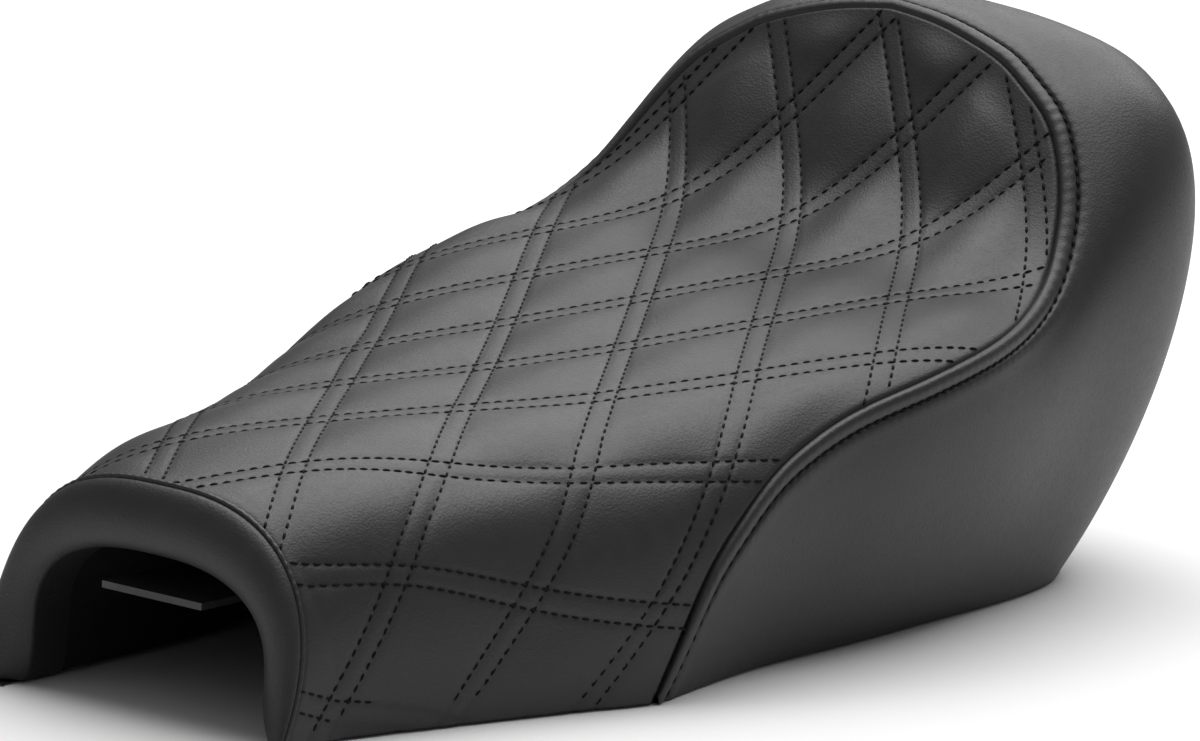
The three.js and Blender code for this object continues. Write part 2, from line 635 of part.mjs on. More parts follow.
BUMPERS.forEach(([x, y, z0], i) => {
  place(`bumper_${i + 1}`, bumperGeometry(), RUBBER, x, y, z0 - GAP - 15);
});
FRONT_RIVETS.forEach(([x, y], i) => {
  place(`front_rivet_${i + 1}`, rivetGeometry(), STEEL, x, y, tongueZ - TONGUE_T);
});
REAR_RIVETS.forEach(([x, y], i) => {
  place(`rear_rivet_${i + 1}`, rivetGeometry(), STEEL, x, y, bracketZ - bt);
});
export default seat;
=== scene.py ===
import math

import bmesh
import bpy
import numpy as np
from mathutils import Matrix, Vector


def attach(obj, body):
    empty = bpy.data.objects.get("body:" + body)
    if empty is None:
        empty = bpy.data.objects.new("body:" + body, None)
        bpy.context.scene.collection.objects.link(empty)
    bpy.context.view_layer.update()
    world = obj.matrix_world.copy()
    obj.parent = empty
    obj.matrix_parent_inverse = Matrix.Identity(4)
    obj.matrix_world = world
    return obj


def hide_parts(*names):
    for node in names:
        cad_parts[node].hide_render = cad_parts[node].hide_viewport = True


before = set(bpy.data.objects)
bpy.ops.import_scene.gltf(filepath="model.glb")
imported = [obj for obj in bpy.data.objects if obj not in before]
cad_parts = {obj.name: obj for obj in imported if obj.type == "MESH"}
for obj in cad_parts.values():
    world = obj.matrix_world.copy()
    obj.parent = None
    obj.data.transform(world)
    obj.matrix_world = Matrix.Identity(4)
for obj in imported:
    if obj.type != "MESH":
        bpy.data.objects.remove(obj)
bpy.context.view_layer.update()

MM = 0.001

# ---------------------------------------------------------------------------------------------
# Shape of the seat, in millimetres in the row frame: +X the rider's left, the nose faces -Y.
# ---------------------------------------------------------------------------------------------
CENTRE_LINE = [(-291.5, 95), (-245, 104), (-195, 109.5), (-86, 118.5), (18, 135),
               (82, 147), (126, 159), (155, 181.5), (177, 214.5), (197, 250)]
SECTIONS = [(0, 84, 2.8, 98), (47, 96, 3.2, 112), (97, 108, 3.2, 114), (157, 128, 3.3, 115),
            (207, 144, 3.8, 115), (260, 155.5, 4.9, 115), (314, 164, 6.2, 115),
            (380, 167, 6, 112), (440, 166, 4.2, 100), (490, 166, 3.4, 90), (540, 166, 3.2, 90)]
WELT_LINE = [(161, 207), (170, 192), (179, 178), (191, 164.5), (208, 154.5), (228, 147.5),
             (251, 145), (280, 146.5), (312, 151.5), (345, 154), (375, 152.5), (401, 146.5),
             (427, 137), (450, 127), (468, 119.5), (488, 109), (504, 96.5), (514, 83), (523, 69),
             (530.5, 50), (536, 31), (540.7, 0)]
BOXING_RIBS = [
    (161, (129, -122, 0), (0, 0, -1), (0, 0, 1)),
    (191, (125, -92, 2), (3, 0, -15), (4, 0, 15)),
    (251, (119, -40, 3), (6, 0, -28), (12, 0, 30)),
    (345, (118, 40, 3), (8, 2, -35), (22, 0, 40)),
    (401, (115, 105, 3), (16, 8, -34), (26, 4, 50)),
    (450, (112, 160, 3), (37, 38, 8), (28, 13, 70)),
    (488, (101, 211, 3), (50, 86, 42), (37, 40, 88)),
    (523, (64, 247, 3), (46, 124, 47), (33, 66, 96)),
    (540.7, (0, 258, 3), (0, 132, 34), (0, 90, 97)),
]
SEAM_LEAN, SEAM_FOOT = 31.0, 133.0
MOUTH_HALF, MOUTH_SPRING, MOUTH_TOP, MOUTH_FULL, MOUTH_Y = 62.5, 25.0, 66.5, 2.6, -298.0
FOOT_Z = 2.6          # height where the cover starts to roll under
ROLL = 2.4            # radius of that roll
HEM = 15.0            # turned-in cover

# Quilting: two families of double-stitched lines, mirror images of each other.
CELL = 109.7          # distance between crossings along the centre line
ANGLE = math.radians(31.0)
ROW = 4.4             # half the distance between the two rows of a line
ORIGIN = -121.6       # distance along the centre line of crossing number 0
PITCH = 5.6           # stitch pitch
SPACING = CELL * math.sin(ANGLE)


def spline(xs, ys):
    """Natural cubic spline through the points."""
    xs, ys = np.array(xs, float), np.array(ys, float)
    n, h = len(xs), np.diff(xs)
    a, b = np.zeros((n, n)), np.zeros(n)
    a[0, 0] = a[-1, -1] = 1
    for i in range(1, n - 1):
        a[i, i - 1:i + 2] = h[i - 1], 2 * (h[i - 1] + h[i]), h[i]
        b[i] = 6 * ((ys[i + 1] - ys[i]) / h[i] - (ys[i] - ys[i - 1]) / h[i - 1])
    m = np.linalg.solve(a, b)

    def f(x):
        x = np.asarray(x, float)
        i = np.clip(np.searchsorted(xs, x) - 1, 0, n - 2)
        t, w = x - xs[i], h[i]
        slope = (ys[i + 1] - ys[i]) / w - w * (2 * m[i] + m[i + 1]) / 6
        return ys[i] + t * (slope + t * (m[i] / 2 + t * (m[i + 1] - m[i]) / (6 * w)))
    return f


def lengths(pts):
    pts = np.asarray(pts, float)
    return np.concatenate([[0], np.cumsum(np.linalg.norm(np.diff(pts, axis=0), axis=1))])


def smooth(a, b, x):
    t = np.clip((x - a) / (b - a), 0, 1)
    return t * t * (3 - 2 * t)


line_z = spline(*zip(*CENTRE_LINE))
line_y = np.linspace(CENTRE_LINE[0][0], CENTRE_LINE[-1][0], 4001)
line_s = lengths(np.stack([line_y, line_z(line_y)], 1))
TOP = float(line_s[-1])
section_of = [spline([r[0] for r in SECTIONS], [r[k] for r in SECTIONS]) for k in (1, 2, 3)]

# Sections tabulated as x and drop against distance out along the panel.
P_STEP, S_STEP, P_MAX = 0.4, 1.0, 280.0
p_axis = np.arange(0, P_MAX, P_STEP)
s_axis = np.arange(0, TOP + 3, S_STEP)


def section_table():
    xs = np.empty((len(s_axis), len(p_axis)))
    ds = np.empty_like(xs)
    u = np.linspace(0, 1, 500)
    for i, s in enumerate(np.minimum(s_axis, 540)):
        w, e, b = (float(f(s)) for f in section_of)
        k = 2 ** (-1 / e)
        x = np.concatenate([w * k * u, w * (1 - (k * (1 - u[1:])) ** e) ** (1 / e)])
        d = np.concatenate([b * (1 - (1 - (k * u) ** e) ** (1 / e)), b * (1 - k * (1 - u[1:]))])
        at = lengths(np.stack([x, d], 1))
        xs[i] = np.interp(p_axis, at, x)
        ds[i] = np.interp(p_axis, at, d) + np.maximum(p_axis - at[-1], 0)
    return xs, ds


TABLE_X, TABLE_D = section_table()


def top(p, s):
    """Points of the top panel: p out from the centre line along the panel, s along the line."""
    p, s = np.broadcast_arrays(np.asarray(p, float), np.asarray(s, float))
    y = np.interp(s, line_s, line_y)
    slope = line_z(y + 0.5) - line_z(y - 0.5)
    ty = 1 / np.hypot(1, slope)
    tz = slope * ty
    ahead = np.minimum(s, 0) + np.maximum(s - TOP, 0)
    fp = np.clip(np.abs(p) / P_STEP, 0, len(p_axis) - 1.001)
    fs = np.clip(s / S_STEP, 0, len(s_axis) - 1.001)
    ip, js = fp.astype(int), fs.astype(int)
    wp, ws = fp - ip, fs - js

    def pick(t):
        return ((t[js, ip] * (1 - wp) + t[js, ip + 1] * wp) * (1 - ws)
                + (t[js + 1, ip] * (1 - wp) + t[js + 1, ip + 1] * wp) * ws)
    x, d = pick(TABLE_X), pick(TABLE_D)
    return np.stack([np.sign(p) * x, y + ahead * ty + tz * d, line_z(y) + ahead * tz - ty * d], -1)


def top_normal(p, s):
    a = top(p + 0.8, s) - top(p - 0.8, s)
    b = top(p, s + 0.8) - top(p, s - 0.8)
    n = np.cross(a, b)
    return n / np.linalg.norm(n, axis=-1, keepdims=True)


def seam_lean(p):
    return -SEAM_LEAN * (np.abs(p) / SEAM_FOOT) ** 3.2


FOOT_S = float(WELT_LINE[0][0])


def leaning(p, s):
    """s of a point of the front part, whose rows lean forward with the nose seam."""
    return s + seam_lean(p) * np.maximum(1 - s / FOOT_S, 0) ** 2


welt_t = lengths(WELT_LINE)
WELT_END = float(welt_t[-1])
welt_s = spline(welt_t, [r[0] for r in WELT_LINE])
welt_p = spline(welt_t, [r[1] for r in WELT_LINE])


def foot_length(s, z=FOOT_Z):
    s = np.asarray(s, float)
    lo, hi = np.full(s.shape, 60.0), np.full(s.shape, 260.0)
    for _ in range(40):
        mid = (lo + hi) / 2
        above = top(mid, leaning(mid, s))[..., 2] > z
        lo, hi = np.where(above, mid, lo), np.where(above, hi, mid)
    return lo


# Outline of the top panel in the flat: distance to the welt line, for seam shaping.
line_t = np.linspace(0, WELT_END, 700)
WELT_FLAT = np.stack([np.maximum(welt_p(line_t), 0), np.minimum(welt_s(line_t), TOP)], 1)


def welt_distance(p, s):
    q = np.stack([np.abs(p).ravel(), s.ravel()], 1)
    out = np.empty(len(q))
    for i in range(0, len(q), 4000):
        d = q[i:i + 4000, None, :] - WELT_FLAT[None]
        out[i:i + 4000] = np.sqrt((d ** 2).sum(-1).min(-1))
    return out.reshape(p.shape)


# ---- quilting ----
def laid(p, s, sign):
    """Where a line of one family lies, against a flat lattice: the vinyl gives on the front flanks."""
    out = np.abs(p)
    rising = -20 * (1 - smooth(120, 230, s)) * np.clip((out - 90) / 60, 0, 1.2)
    falling = 9 * np.exp(-((out - 80) / 27) ** 2) * (1 - smooth(150, 230, s))
    return sign * p / math.tan(ANGLE) + np.where(sign * p > 0, rising, falling)


def lattice(p, s):
    """Signed distance to the nearest line of each family."""
    out = []
    for sign in (-1, 1):
        f = (s - ORIGIN + laid(p, s, sign)) / CELL
        out.append((f - np.round(f)) * SPACING)
    return out


def wave(x, y, seed):
    """Smooth pseudo-random field, the same every run."""
    rng = np.random.default_rng(seed)
    out = 0
    for _ in range(7):
        a, b, c = rng.uniform(-1, 1, 2).tolist() + [rng.uniform(0, 6.28)]
        out = out + np.sin(a * x + b * y + c)
    return out / 7


def puff(p, s):
    """How far the quilted panel stands off its stitch lines."""
    full = 2.6 + 2.3 * smooth(385, 440, s)
    full = full * (1 - 0.6 * smooth(85, 135, np.abs(p)) * (1 - smooth(150, 210, s)))
    full = full * (1 - 0.5 * (1 - smooth(20, 120, s)))
    full = full * (1 + 0.12 * wave(p / 38, s / 38, 5))
    half = SPACING / 2 - ROW
    rise = 1.0
    row = 0.0
    between = 0.0
    for d in lattice(p, s):
        a = np.abs(d)
        g = np.clip((a - ROW) / half, 0, 1)
        rise = rise * (1 - (1 - g) ** 1.8)
        row = np.maximum(row, np.exp(-((a - ROW) / 0.95) ** 2))
        between = np.maximum(between, np.where(a < ROW, 1 - (a / ROW) ** 2, 0))
    return full * rise - 0.5 * row + 0.12 * between * (1 - row)


def edge_dip(d, depth, width):
    return -depth * np.exp(-(d / width) ** 2)


def panel_height(p, s, d_welt, d_seam):
    fade = smooth(0.5, 24, d_welt) * smooth(1, 16, d_seam)
    return puff(p, s) * fade + edge_dip(d_welt, 1.7, 1.1) + edge_dip(d_seam, 1.3, 1.4)


def top_surface(p, s, d_welt, d_seam):
    n = top_normal(p, s)
    return top(p, s) + n * panel_height(p, s, d_welt, d_seam)[..., None]


# ---------------------------------------------------------------------------------------------
# Mesh helpers
# ---------------------------------------------------------------------------------------------
def new_object(name, verts_mm, faces, materials=(), smooth_shade=True):
    mesh = bpy.data.meshes.new(name)
    verts = np.asarray(verts_mm, float) * MM
    faces = [f for f in faces] if not isinstance(faces, np.ndarray) else faces.tolist()
    mesh.from_pydata(verts.tolist(), [], faces)
    mesh.validate(clean_customdata=False)
    mesh.update()
    if smooth_shade:
        mesh.polygons.foreach_set("use_smooth", np.ones(len(mesh.polygons), bool))
    for m in materials:
        mesh.materials.append(m)
    obj = bpy.data.objects.new(name, mesh)
    bpy.context.scene.collection.objects.link(obj)
    return obj


def weld(obj, distance=0.02):
    """Join vertices closer than the distance, in millimetres, and shade the piece smooth."""
    bm = bmesh.new()
    bm.from_mesh(obj.data)
    bmesh.ops.remove_doubles(bm, verts=bm.verts, dist=distance * MM)
    bm.to_mesh(obj.data)
    bm.free()
    obj.data.polygons.foreach_set("use_smooth", np.ones(len(obj.data.polygons), bool))


def grid_faces(rows, cols, flip=False):
    i = np.arange(rows - 1)[:, None] * cols + np.arange(cols - 1)[None]
    i = i.ravel()
    f = np.stack([i, i + 1, i + 1 + cols, i + cols], 1)
    return f[:, ::-1] if flip else f


def attribute(obj, name, values):
    a = obj.data.attributes.new(name, "FLOAT", "POINT")
    a.data.foreach_set("value", np.asarray(values, np.float32).ravel())


# ---------------------------------------------------------------------------------------------
# Materials
# ---------------------------------------------------------------------------------------------
def material(name):
    m = bpy.data.materials.new(name)
    m.use_nodes = True
    t = m.node_tree
    t.nodes.clear()
    out = t.nodes.new("ShaderNodeOutputMaterial")
    b = t.nodes.new("ShaderNodeBsdfPrincipled")
    t.links.new(b.outputs[0], out.inputs[0])
    return m, t, b


def noise(t, coord, scale, detail=3.0, rough=0.5):
    n = t.nodes.new("ShaderNodeTexNoise")
    n.inputs["Scale"].default_value = scale
    n.inputs["Detail"].default_value = detail
    n.inputs["Roughness"].default_value = rough
    t.links.new(coord, n.inputs["Vector"])
    return n.outputs["Fac"]


def voronoi(t, coord, scale, feature="F1", smoothness=None):
    n = t.nodes.new("ShaderNodeTexVoronoi")
    n.feature = feature
    n.inputs["Scale"].default_value = scale
    if smoothness is not None:
        n.inputs["Smoothness"].default_value = smoothness
    t.links.new(coord, n.inputs["Vector"])
    return n.outputs["Distance"]


def ramp(t, fac, stops):
    n = t.nodes.new("ShaderNodeValToRGB")
    e = n.color_ramp.elements
    while len(e) < len(stops):
        e.new(0.5)
    for k, (pos, col) in enumerate(stops):
        e[k].position = pos
        e[k].color = (*col, 1) if len(col) == 3 else col
    t.links.new(fac, n.inputs["Fac"])
    return n.outputs["Color"]


def span(t, fac, lo, hi, from_lo=0.0, from_hi=1.0):
    n = t.nodes.new("ShaderNodeMapRange")
    n.inputs["From Min"].default_value = from_lo
    n.inputs["From Max"].default_value = from_hi
    n.inputs["To Min"].default_value = lo
    n.inputs["To Max"].default_value = hi
    t.links.new(fac, n.inputs["Value"])
    return n.outputs["Result"]


def math_node(t, op, a, b):
    n = t.nodes.new("ShaderNodeMath")
    n.operation = op
    for k, v in enumerate((a, b)):
        if isinstance(v, (int, float)):
            n.inputs[k].default_value = v
        else:
            t.links.new(v, n.inputs[k])
    return n.outputs[0]


def bump(t, height, distance, strength=1.0, normal=None):
    n = t.nodes.new("ShaderNodeBump")
    n.inputs["Distance"].default_value = distance
    n.inputs["Strength"].default_value = strength
    t.links.new(height, n.inputs["Height"])
    if normal is not None:
        t.links.new(normal, n.inputs["Normal"])
    return n.outputs["Normal"]


def object_coord(t):
    return t.nodes.new("ShaderNodeTexCoord").outputs["Object"]


def mix_color(t, fac, a, b):
    n = t.nodes.new("ShaderNodeMix")
    n.data_type = "RGBA"
    t.links.new(fac, n.inputs[0])
    for k, v in ((6, a), (7, b)):
        if isinstance(v, tuple):
            n.inputs[k].default_value = (*v, 1)
        else:
            t.links.new(v, n.inputs[k])
    return n.outputs[2]


def vinyl(name, dark, light, rough=(0.44, 0.56), grain=1.0, painted_crease_shade=None):
    """Grained vinyl: pebbled cells with fine pores and a slow drift of tone."""
    m, t, b = material(name)
    co = object_coord(t)
    slow = noise(t, co, 9, 2)
    mid = noise(t, co, 160, 3)
    cells = voronoi(t, co, 900, "SMOOTH_F1", 0.4)
    pores = noise(t, co, 2600, 2)
    tone = math_node(t, "ADD", math_node(t, "MULTIPLY", slow, 0.6), math_node(t, "MULTIPLY", mid, 0.4))
    colour = ramp(t, tone, [(0.3, dark), (0.7, light)])
    # Painted shade: where the mesh attribute is set (stitch rows, welt seam, nose seam), the base colour is
    # blended towards a much darker tone to stand in for shade in those grooves.
    if painted_crease_shade:
        a = t.nodes.new("ShaderNodeAttribute")
        a.attribute_name = painted_crease_shade
        colour = mix_color(t, a.outputs["Fac"], colour, tuple(0.35 * c for c in dark))
    t.links.new(colour, b.inputs["Base Color"])
    t.links.new(span(t, math_node(t, "ADD", math_node(t, "MULTIPLY", cells, 0.5),
                                  math_node(t, "MULTIPLY", mid, 0.5)), rough[0], rough[1], 0.2, 0.8),
                b.inputs["Roughness"])
    height = math_node(t, "ADD", cells, math_node(t, "MULTIPLY", pores, 0.35))
    n = bump(t, height, 0.00012 * grain, 0.8)
    n = bump(t, mid, 0.00025, 0.35, n)
    t.links.new(n, b.inputs["Normal"])
    b.inputs["Specular IOR Level"].default_value = 0.5
    return m


def thread_material():
    m, t, b = material("thread")
    co = object_coord(t)
    fuzz = noise(t, co, 3000, 2)
    t.links.new(ramp(t, fuzz, [(0.3, (0.001, 0.001, 0.001)), (0.7, (0.004, 0.004, 0.004))]),
                b.inputs["Base Color"])
    t.links.new(span(t, fuzz, 0.5, 0.75), b.inputs["Roughness"])
    t.links.new(bump(t, fuzz, 0.0001), b.inputs["Normal"])
    b.inputs["Specular IOR Level"].default_value = 0.15
    return m


def plastic(name, dark, light, rough):
    """Moulded plastic with a fine spark-eroded texture and faint flow marks."""
    m, t, b = material(name)
    co = object_coord(t)
    fine = noise(t, co, 1500, 3)
    slow = noise(t, co, 14, 3)
    t.links.new(ramp(t, slow, [(0.3, dark), (0.7, light)]), b.inputs["Base Color"])
    t.links.new(span(t, fine, rough - 0.06, rough + 0.08), b.inputs["Roughness"])
    t.links.new(bump(t, fine, 0.00012, 0.7), b.inputs["Normal"])
    return m


def foam_material(name, dark, light):
    m, t, b = material(name)
    co = object_coord(t)
    cells = voronoi(t, co, 700)
    slow = noise(t, co, 25, 3)
    t.links.new(ramp(t, slow, [(0.3, dark), (0.7, light)]), b.inputs["Base Color"])
    t.links.new(span(t, cells, 0.8, 0.98), b.inputs["Roughness"])
    t.links.new(bump(t, cells, 0.0006), b.inputs["Normal"])
    return m


def metal(name, dark, light, rough, metallic=1.0, scale=60):
    """Plated metal: spangled tone, fine scratches along one direction."""
    m, t, b = material(name)
    co = object_coord(t)
    spangle = noise(t, co, scale, 4)
    mapping = t.nodes.new("ShaderNodeMapping")
    mapping.inputs["Scale"].default_value = (60, 2500, 2500)
    t.links.new(co, mapping.inputs["Vector"])
    scratch = noise(t, mapping.outputs[0], 1, 2)
    t.links.new(ramp(t, spangle, [(0.3, dark), (0.7, light)]), b.inputs["Base Color"])
    t.links.new(span(t, scratch, rough - 0.1, rough + 0.12), b.inputs["Roughness"])
    t.links.new(bump(t, scratch, 0.00005, 0.6), b.inputs["Normal"])
    b.inputs["Metallic"].default_value = metallic
    return m


VINYL_DARK, VINYL_LIGHT = (0.014, 0.014, 0.0145), (0.021, 0.021, 0.0215)
# The quilted vinyl carries painted shade in its stitch grooves and along its seams.
mat_quilt = vinyl("quilted_vinyl", VINYL_DARK, VINYL_LIGHT, painted_crease_shade="painted_crease_shade")
mat_plain = vinyl("plain_vinyl", VINYL_DARK, VINYL_LIGHT)
mat_welt = vinyl("welt_vinyl", VINYL_DARK, VINYL_LIGHT, grain=0.8)
mat_thread = thread_material()

# ---------------------------------------------------------------------------------------------
# Quilted top panel
# ---------------------------------------------------------------------------------------------
COLS = 220
FRONT = 92
BACK = 318


def under_roll(edge, inward, rows=6, hem=HEM):
    """Points that continue a cover edge round its lower lip and in along the underside."""
    out = []
    for k in range(1, rows + 1):
        a = k / rows * math.pi / 2
        out.append(edge + inward * ROLL * (1 - math.cos(a)) - np.array([0, 0, ROLL * math.sin(a)]))
    base = out[-1]
    for d in (4, 8, hem):
        out.append(base + inward * (d - ROLL) + np.array([0, 0, 0.25 * (d - ROLL) / hem]))
    return out


def build_top():
    c = np.linspace(-1, 1, COLS + 1)
    s_front = FOOT_S * np.arange(FRONT) / FRONT
    ends = foot_length(s_front)
    p_f = ends[:, None] * c
    s_f = leaning(p_f, s_front[:, None])
    t = np.linspace(0, WELT_END, BACK + 1)
    pe = np.maximum(welt_p(t), 0)
    pe[-1] = 0
    se = np.minimum(welt_s(t), TOP)
    low = foot_length(np.minimum(se, FOOT_S))
    pe = np.where(se < FOOT_S + 3, np.minimum(pe, low), pe)
    p_b = pe[:, None] * c
    s_b = np.broadcast_to(se[:, None], p_b.shape)
    p, s = np.concatenate([p_f, p_b]), np.concatenate([s_f, s_b])
    d_welt = welt_distance(p, s)
    d_seam = np.abs(s - seam_lean(p))
    pts = top_surface(p, s, d_welt, d_seam)
    verts = pts.reshape(-1, 3)
    faces = grid_faces(*p.shape)
    # Painted shade mask: how strongly the vinyl colour is darkened in the stitch grooves, along the welt seam
    # and at the nose seam.
    painted_crease_shade = np.zeros(p.shape)
    for d in lattice(p, s):
        painted_crease_shade = np.maximum(painted_crease_shade, np.exp(-((np.abs(d) - ROW) / 0.9) ** 2))
    painted_crease_shade = 0.55 * painted_crease_shade
    painted_crease_shade = np.maximum(painted_crease_shade, np.exp(-(d_welt / 1.6) ** 2))
    painted_crease_shade = np.maximum(painted_crease_shade, 0.8 * np.exp(-(d_seam / 1.2) ** 2))
    n = p.shape[1]
    rolls = []
    rows = FRONT + 1
    for side, col in ((-1, 0), (1, n - 1)):
        edge = pts[:rows, col]
        inward = np.zeros((rows, 3))
        inward[:, 0] = -side
        roll = under_roll(edge, inward)
        rolls.append((col, side, np.stack(roll, 1)))
    base = len(verts)
    all_faces = [faces]
    more = [verts]
    for col, side, roll in rolls:
        k = roll.shape[1]
        idx = base + np.arange(rows * k).reshape(rows, k)
        edge_idx = np.arange(rows) * n + col
        idx = np.concatenate([edge_idx[:, None], idx], 1)
        q = np.stack([idx[:-1, :-1], idx[:-1, 1:], idx[1:, 1:], idx[1:, :-1]], -1).reshape(-1, 4)
        all_faces.append(q if side > 0 else q[:, ::-1])
        more.append(roll.reshape(-1, 3))
        base += rows * k
    verts = np.concatenate(more)
    obj = new_object("quilted_top", verts, np.concatenate(all_faces), [mat_quilt])
    # The painted shade mask is stored on the panel's vertices; the rolled-under edge gets none.
    values = np.zeros(len(verts))
    values[:painted_crease_shade.size] = painted_crease_shade.ravel()
    if len(obj.data.vertices) == len(values):
        attribute(obj, "painted_crease_shade", values)
    weld(obj)
    return obj


quilted_top = build_top()
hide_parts("cover_top", "quilt_foam")
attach(quilted_top, "root")


# ---------------------------------------------------------------------------------------------
# Boxing: ribs from the welt line to the lower edge
# ---------------------------------------------------------------------------------------------
def rib_splines():
    ts = np.linspace(0, WELT_END, 4000)
    ss = welt_s(ts)
    at = [float(ts[np.argmin(np.abs(ss - r[0]))]) for r in BOXING_RIBS]
    at[-1] = WELT_END
    out = []
    for k in (1, 2, 3):
        for c in range(3):
            v = [r[k][c] for r in BOXING_RIBS]
            sign = -1 if c == 0 else 1
            t = at + [2 * WELT_END - at[-2], 2 * WELT_END - at[-3]]
            out.append(spline(t, v + [sign * v[-2], sign * v[-3]]))
    return out


RIBS = rib_splines()


def welt_point(t):
    p = np.maximum(welt_p(t), 0) * (np.asarray(t) < WELT_END)
    return top(p, np.minimum(welt_s(t), TOP))


def ribs(t, count=160):
    """Dense points down each rib, its arc lengths and its lower edge data."""
    t = np.asarray(t, float)
    f = [g(t) for g in RIBS]
    g = welt_point(t)
    e = np.stack(f[0:3], -1)
    up, low = g + np.stack(f[3:6], -1), e + np.stack(f[6:9], -1)
    v = np.linspace(0, 1, count)[None, :, None]
    w = 1 - v
    raw = (g[:, None] * w ** 3 + 3 * up[:, None] * v * w ** 2
           + 3 * low[:, None] * v ** 2 * w + e[:, None] * v ** 3)
    step = np.linalg.norm(np.diff(raw, axis=1), axis=2)
    at = np.concatenate([np.zeros((len(t), 1)), np.cumsum(step, 1)], 1)
    inward = np.stack([-f[6], -f[7], 0 * f[6]], -1)
    size = np.linalg.norm(inward, axis=1, keepdims=True)
    inward = np.where(size > 0.5, inward / np.maximum(size, 1e-6), np.array([-1.0, 0, 0]))
    ahead = welt_point(np.minimum(t + 1, WELT_END)) - welt_point(np.maximum(t - 1, 0))
    ahead /= np.linalg.norm(ahead, axis=1, keepdims=True)
    down = raw[:, 2] - raw[:, 0]
    down /= np.maximum(np.linalg.norm(down, axis=1, keepdims=True), 1e-9)
    turn = np.linalg.norm(np.cross(ahead, down), axis=1)
    return raw, at, np.clip(turn, 0.25, 1), inward


def boxing_points(t, dist):
    """Points at true distances dist from the welt line, down the ribs at t."""
    raw, at, turn, _ = ribs(t)
    out = np.empty((len(t), len(dist), 3))
    for i in range(len(t)):
        total = at[i, -1]
        d = np.where(np.isinf(dist), total, dist / turn[i])
        d = np.minimum(d, total)
        for c in range(3):
            out[i, :, c] = np.interp(d, at[i], raw[i, :, c])
    return out


NEAR = np.array([7.6, 8.0, 8.4, 8.9, 9.5, 10.2, 11.2, 12.5, 14, 16, 18.5, 21.5])
BAND = 8.2                # distance of the topstitching from the welt line
PANEL_LOWEST = 0.25       # height that the side panels keep above the floor
WELT_LOWEST = 0.3         # and the welt


def grid_normals(pts):
    a = np.gradient(pts, axis=0)
    b = np.gradient(pts, axis=1)
    n = np.cross(b, a)
    return n / np.maximum(np.linalg.norm(n, axis=-1, keepdims=True), 1e-9)


def boxing_grid(rows=400, lower=64):
    t = np.linspace(3.0, WELT_END, rows)
    raw, at, turn, inward = ribs(t)
    cols = len(NEAR) + lower
    pts = np.empty((rows, cols, 3))
    dist = np.empty((rows, cols))
    for i in range(rows):
        total = at[i, -1]
        near = NEAR / turn[i]
        scale = min(1.0, 0.8 * total / near[-1])
        near = near * scale
        rest = near[-1] + (total - near[-1]) * np.arange(1, lower + 1) / lower
        d = np.concatenate([near, rest])
        dist[i] = d * turn[i]
        for c in range(3):
            pts[i, :, c] = np.interp(d, at[i], raw[i, :, c])
    return t, pts, dist, inward


def build_boxing():
    t, pts, dist, inward = boxing_grid()
    n = grid_normals(pts)
    if (n[200, 40] * (pts[200, 40] - np.array([0, 0, 60]))).sum() < 0:
        n = -n
    ripple = np.sin(t / PITCH * 2 * math.pi)[:, None]
    h = (-1.3 * np.exp(-((dist - BAND) / 1.0) ** 2)
         + 0.45 * np.exp(-((dist - 12.5) / 3.5) ** 2)
         - 0.12 * ripple * np.exp(-((dist - 10) / 1.8) ** 2))
    slow = 0.5 * wave(pts[..., 0] / 60 + pts[..., 1] / 45, pts[..., 2] / 55, 11) * smooth(12, 50, dist)
    back_seam = np.abs(pts[..., 0])
    h = h + slow * 0.5 - 1.2 * np.exp(-(back_seam / 1.3) ** 2) * smooth(9, 14, dist)
    pts = pts + n * h[..., None]
    roll = list(under_roll(pts[:, -1], inward))
    pleat = np.sin(t / 7.3) * smooth(330, 420, t) + 0.4 * np.sin(t / 3.1)
    for k, q in enumerate(roll[-3:]):
        q[:, 2] += 0.25 * (k + 1) * np.abs(pleat) * 0.5
    full = np.concatenate([pts, np.stack(roll, 1)], 1)
    full[..., 2] = np.maximum(full[..., 2], PANEL_LOWEST)
    return full


boxing_pts = build_boxing()
side_panels = []
for side, name in ((1, "side_panel_left"), (-1, "side_panel_right")):
    pts = boxing_pts * np.array([side, 1, 1])
    faces = grid_faces(pts.shape[0], pts.shape[1], flip=side < 0)
    obj = new_object(name, pts.reshape(-1, 3), faces, [mat_plain])
    weld(obj)
    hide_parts("boxing_left" if side > 0 else "boxing_right")
    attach(obj, "root")
    side_panels.append(obj)

# ---- the welt: a folded band between the seam and the topstitching ----
WELT_PROFILE = [(-0.5, -4.2), (-0.1, -2.6), (0.25, -0.9), (0.55, 0.1), (1.0, 0.8), (1.7, 1.3),
                (2.8, 1.6), (4.1, 1.6), (5.3, 1.35), (6.4, 0.85), (7.3, 0.25), (8.0, -0.5),
                (8.5, -1.6)]


